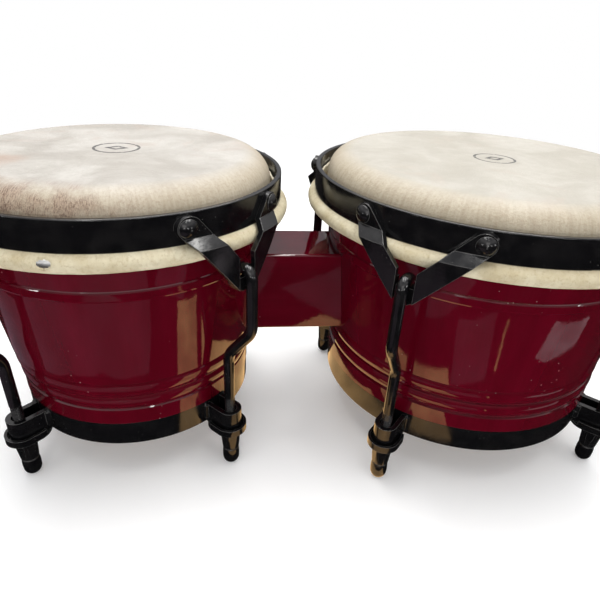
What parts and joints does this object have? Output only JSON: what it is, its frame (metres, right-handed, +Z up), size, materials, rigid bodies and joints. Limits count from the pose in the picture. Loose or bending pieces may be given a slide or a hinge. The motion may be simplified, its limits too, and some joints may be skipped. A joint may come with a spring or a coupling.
{
  "type": "bongo drums",
  "caption": "Pair of bongo drums: tapered red wooden shells joined by a block, rawhide heads, black hoops on V straps, hook rods and nuts that are also feet.",
  "frame": {"origin": "middle of the base, on the ground under the middle of the bounding box", "axes": "+Z up; +X from the small drum (macho) to the large drum (hembra), along the line of both drum axes; -Y towards the player"},
  "size_m": [0.451, 0.236, 0.1912],
  "materials": {
    "red_lacquer": "deep wine red stain under thick clear gloss lacquer",
    "rawhide": "natural scraped rawhide, matt, mottled",
    "black_coat": "black gloss powder coat on steel",
    "zinc_steel": "bright zinc-plated steel"
  },
  "bodies": {
    "root": {"centre_block": "red_lacquer", "macho_shell": "red_lacquer", "macho_block_bolts": "zinc_steel", "macho_block_washers": "zinc_steel", "macho_head_skin": "rawhide", "macho_flesh_hoop": "zinc_steel", "macho_foot_ring": "black_coat", "macho_saddles": "black_coat", "macho_keeper_front_left": "black_coat", "macho_keeper_front_right": "black_coat", "macho_keeper_back_right": "black_coat", "macho_keeper_back_left": "black_coat", "hembra_shell": "red_lacquer", "hembra_block_bolts": "zinc_steel", "hembra_block_washers": "zinc_steel", "hembra_head_skin": "rawhide", "hembra_flesh_hoop": "zinc_steel", "hembra_foot_ring": "black_coat", "hembra_saddles": "black_coat", "hembra_keeper_front_left": "black_coat", "hembra_keeper_front_right": "black_coat", "hembra_keeper_back_right": "black_coat", "hembra_keeper_back_left": "black_coat"},
    "macho_rim": {"macho_tension_hoop": "black_coat", "macho_rivets": "black_coat", "macho_strap_front_left": "black_coat", "macho_strap_front_right": "black_coat", "macho_strap_back_right": "black_coat", "macho_strap_back_left": "black_coat", "macho_rod_front_left": "black_coat", "macho_rod_front_right": "black_coat", "macho_rod_back_right": "black_coat", "macho_rod_back_left": "black_coat"},
    "macho_nut_front_left": {"macho_nut_front_left": "black_coat"},
    "macho_nut_front_right": {"macho_nut_front_right": "black_coat"},
    "macho_nut_back_right": {"macho_nut_back_right": "black_coat"},
    "macho_nut_back_left": {"macho_nut_back_left": "black_coat"},
    "hembra_rim": {"hembra_tension_hoop": "black_coat", "hembra_rivets": "black_coat", "hembra_strap_front_left": "black_coat", "hembra_strap_front_right": "black_coat", "hembra_strap_back_right": "black_coat", "hembra_strap_back_left": "black_coat", "hembra_rod_front_left": "black_coat", "hembra_rod_front_right": "black_coat", "hembra_rod_back_right": "black_coat", "hembra_rod_back_left": "black_coat"},
    "hembra_nut_front_left": {"hembra_nut_front_left": "black_coat"},
    "hembra_nut_front_right": {"hembra_nut_front_right": "black_coat"},
    "hembra_nut_back_right": {"hembra_nut_back_right": "black_coat"},
    "hembra_nut_back_left": {"hembra_nut_back_left": "black_coat"}
  },
  "joints": [
    {"name": "macho_nut_front_left_turn", "type": "hinge", "parent": "root", "child": "macho_nut_front_left", "pos_m": [-0.18773, -0.06223, 0.02], "axis": [0, 0, 1], "range_deg": [-720, 0]},
    {"name": "macho_nut_front_right_turn", "type": "hinge", "parent": "root", "child": "macho_nut_front_right", "pos_m": [-0.06241, -0.06135, 0.02], "axis": [0, 0, 1], "range_deg": [-720, 0]},
    {"name": "macho_nut_back_right_turn", "type": "hinge", "parent": "root", "child": "macho_nut_back_right", "pos_m": [-0.0622, 0.06113, 0.02], "axis": [0, 0, 1], "range_deg": [-720, 0]},
    {"name": "macho_nut_back_left_turn", "type": "hinge", "parent": "root", "child": "macho_nut_back_left", "pos_m": [-0.1909, 0.05888, 0.02], "axis": [0, 0, 1], "range_deg": [-720, 0]},
    {"name": "macho_rim_lift", "type": "slide", "parent": "root", "child": "macho_rim", "axis": [0, 0, 1], "range_m": [0, 0.002]},
    {"name": "hembra_nut_front_left_turn", "type": "hinge", "parent": "root", "child": "hembra_nut_front_left", "pos_m": [0.03443, -0.08115, 0.02], "axis": [0, 0, 1], "range_deg": [-720, 0]},
    {"name": "hembra_nut_front_right_turn", "type": "hinge", "parent": "root", "child": "hembra_nut_front_right", "pos_m": [0.18605, -0.07586, 0.02], "axis": [0, 0, 1], "range_deg": [-720, 0]},
    {"name": "hembra_nut_back_right_turn", "type": "hinge", "parent": "root", "child": "hembra_nut_back_right", "pos_m": [0.18336, 0.07855, 0.02], "axis": [0, 0, 1], "range_deg": [-720, 0]},
    {"name": "hembra_nut_back_left_turn", "type": "hinge", "parent": "root", "child": "hembra_nut_back_left", "pos_m": [0.02006, 0.06541, 0.02], "axis": [0, 0, 1], "range_deg": [-720, 0]},
    {"name": "hembra_rim_lift", "type": "slide", "parent": "root", "child": "hembra_rim", "axis": [0, 0, 1], "range_m": [0, 0.002]}
  ],
  "couplings": [
    {"joint": "macho_nut_front_left_turn", "follows": "macho_rim_lift", "rad_per_m": -6283.2},
    {"joint": "macho_nut_front_right_turn", "follows": "macho_rim_lift", "rad_per_m": -6283.2},
    {"joint": "macho_nut_back_right_turn", "follows": "macho_rim_lift", "rad_per_m": -6283.2},
    {"joint": "macho_nut_back_left_turn", "follows": "macho_rim_lift", "rad_per_m": -6283.2},
    {"joint": "hembra_nut_front_left_turn", "follows": "hembra_rim_lift", "rad_per_m": -6283.2},
    {"joint": "hembra_nut_front_right_turn", "follows": "hembra_rim_lift", "rad_per_m": -6283.2},
    {"joint": "hembra_nut_back_right_turn", "follows": "hembra_rim_lift", "rad_per_m": -6283.2},
    {"joint": "hembra_nut_back_left_turn", "follows": "hembra_rim_lift", "rad_per_m": -6283.2}
  ]
}
